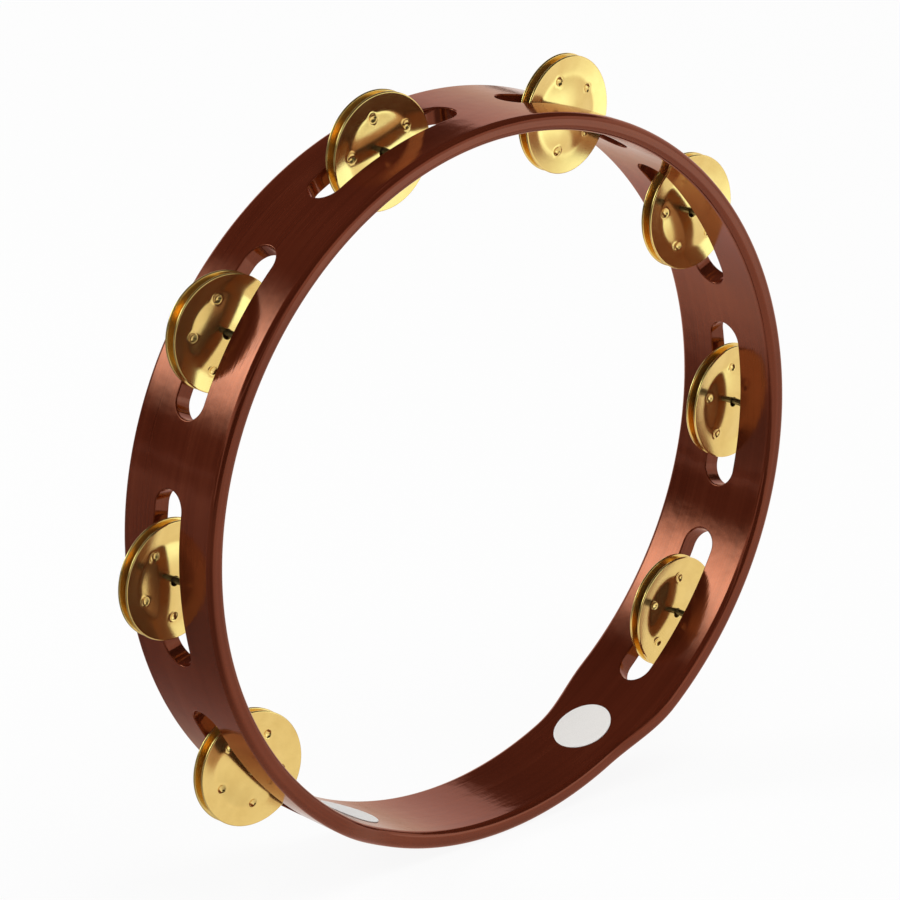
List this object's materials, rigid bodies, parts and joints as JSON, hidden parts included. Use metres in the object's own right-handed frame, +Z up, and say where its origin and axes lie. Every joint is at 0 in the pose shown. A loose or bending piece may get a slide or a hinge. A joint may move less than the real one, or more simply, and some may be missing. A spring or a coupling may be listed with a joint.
{
  "type": "tambourine",
  "caption": "Headless wooden tambourine: a slotted round hoop with a narrowed hand grip and pairs of brass jingles that slide on steel pins.",
  "frame": {"origin": "middle of the wood in the middle of the hand grip, at the bottom of the upright hoop", "axes": "+Y along the hoop's axis from its front edge to its rear edge, +Z up from the grip through the hoop's centre, +X to the right as seen from the front"},
  "size_m": [0.2877, 0.0456, 0.2655],
  "materials": {
    "lacquered_wood": "gloss lacquer over a dark red-brown stain, fine grain running round the hoop",
    "pin_steel": "plain drawn wire",
    "jingle_brass": "polished, with fine turning marks",
    "label_paper": "satin off-white sticker, blank"
  },
  "bodies": {
    "hoop_frame": {"hoop": "lacquered_wood", "pin_1": "pin_steel", "pin_2": "pin_steel", "pin_3": "pin_steel", "pin_4": "pin_steel", "pin_5": "pin_steel", "pin_6": "pin_steel", "pin_7": "pin_steel", "pin_8": "pin_steel", "label_left": "label_paper", "label_right": "label_paper"},
    "jingle_1_front": {"jingle_1_front": "jingle_brass"},
    "jingle_1_rear": {"jingle_1_rear": "jingle_brass"},
    "jingle_2_front": {"jingle_2_front": "jingle_brass"},
    "jingle_2_rear": {"jingle_2_rear": "jingle_brass"},
    "jingle_3_front": {"jingle_3_front": "jingle_brass"},
    "jingle_3_rear": {"jingle_3_rear": "jingle_brass"},
    "jingle_4_front": {"jingle_4_front": "jingle_brass"},
    "jingle_4_rear": {"jingle_4_rear": "jingle_brass"},
    "jingle_5_front": {"jingle_5_front": "jingle_brass"},
    "jingle_5_rear": {"jingle_5_rear": "jingle_brass"},
    "jingle_6_front": {"jingle_6_front": "jingle_brass"},
    "jingle_6_rear": {"jingle_6_rear": "jingle_brass"},
    "jingle_7_front": {"jingle_7_front": "jingle_brass"},
    "jingle_7_rear": {"jingle_7_rear": "jingle_brass"},
    "jingle_8_front": {"jingle_8_front": "jingle_brass"},
    "jingle_8_rear": {"jingle_8_rear": "jingle_brass"}
  },
  "joints": [
    {"name": "jingle_1_front_slide", "type": "slide", "parent": "hoop_frame", "child": "jingle_1_front", "axis": [0, 1, 0], "range_m": [-0.00275, 0.00035]},
    {"name": "jingle_1_rear_slide", "type": "slide", "parent": "hoop_frame", "child": "jingle_1_rear", "axis": [0, 1, 0], "range_m": [-0.00035, 0.0029]},
    {"name": "jingle_2_front_slide", "type": "slide", "parent": "hoop_frame", "child": "jingle_2_front", "axis": [0, 1, 0], "range_m": [-0.0057, 0.00035]},
    {"name": "jingle_2_rear_slide", "type": "slide", "parent": "hoop_frame", "child": "jingle_2_rear", "axis": [0, 1, 0], "range_m": [-0.00035, 0.0009]},
    {"name": "jingle_3_front_slide", "type": "slide", "parent": "hoop_frame", "child": "jingle_3_front", "axis": [0, 1, 0], "range_m": [-0.00435, 0.00035]},
    {"name": "jingle_3_rear_slide", "type": "slide", "parent": "hoop_frame", "child": "jingle_3_rear", "axis": [0, 1, 0], "range_m": [-0.00035, 0.0009]},
    {"name": "jingle_4_front_slide", "type": "slide", "parent": "hoop_frame", "child": "jingle_4_front", "axis": [0, 1, 0], "range_m": [-0.00535, 0.00035]},
    {"name": "jingle_4_rear_slide", "type": "slide", "parent": "hoop_frame", "child": "jingle_4_rear", "axis": [0, 1, 0], "range_m": [-0.00035, 0.00135]},
    {"name": "jingle_5_front_slide", "type": "slide", "parent": "hoop_frame", "child": "jingle_5_front", "axis": [0, 1, 0], "range_m": [-0.003, 0.00035]},
    {"name": "jingle_5_rear_slide", "type": "slide", "parent": "hoop_frame", "child": "jingle_5_rear", "axis": [0, 1, 0], "range_m": [-0.00035, 0.00065]},
    {"name": "jingle_6_front_slide", "type": "slide", "parent": "hoop_frame", "child": "jingle_6_front", "axis": [0, 1, 0], "range_m": [-0.0055, 0.00035]},
    {"name": "jingle_6_rear_slide", "type": "slide", "parent": "hoop_frame", "child": "jingle_6_rear", "axis": [0, 1, 0], "range_m": [-0.00035, 0.0008]},
    {"name": "jingle_7_front_slide", "type": "slide", "parent": "hoop_frame", "child": "jingle_7_front", "axis": [0, 1, 0], "range_m": [-0.0055, 0.00035]},
    {"name": "jingle_7_rear_slide", "type": "slide", "parent": "hoop_frame", "child": "jingle_7_rear", "axis": [0, 1, 0], "range_m": [-0.00035, 0.0007]},
    {"name": "jingle_8_front_slide", "type": "slide", "parent": "hoop_frame", "child": "jingle_8_front", "axis": [0, 1, 0], "range_m": [-0.004, 0.00035]},
    {"name": "jingle_8_rear_slide", "type": "slide", "parent": "hoop_frame", "child": "jingle_8_rear", "axis": [0, 1, 0], "range_m": [-0.00035, 0.00065]}
  ]
}
